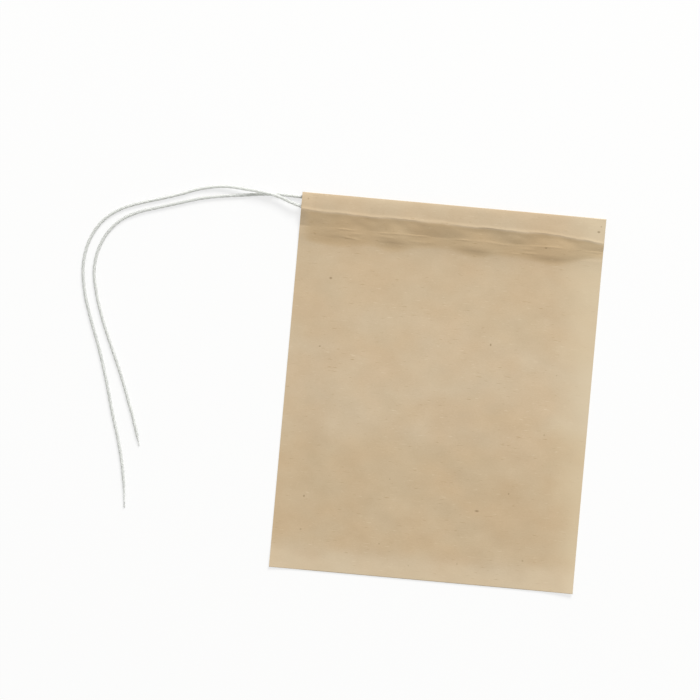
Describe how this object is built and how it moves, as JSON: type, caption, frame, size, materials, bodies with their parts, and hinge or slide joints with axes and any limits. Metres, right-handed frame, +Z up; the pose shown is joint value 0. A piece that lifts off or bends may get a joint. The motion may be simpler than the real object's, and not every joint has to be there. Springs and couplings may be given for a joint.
{
  "type": "drawstring tea filter bag",
  "caption": "Flat, empty tea filter bag of unbleached paper, folded and heat-sealed, with a white cotton string in each hem of its open mouth.",
  "frame": {"origin": "middle of the flat bag's underside, on the surface that it lies on", "axes": "+Z up, out of the bag's front ply; +Y towards the open mouth; the strings leave the hems at the left end, -X"},
  "size_m": [0.1377, 0.1001, 0.0025],
  "materials": {
    "paper": "matt unbleached filter paper",
    "string": "twisted white cotton"
  },
  "bodies": {
    "root": {"paper_bag": "paper", "front_string": "string", "back_string": "string"}
  },
  "joints": []
}
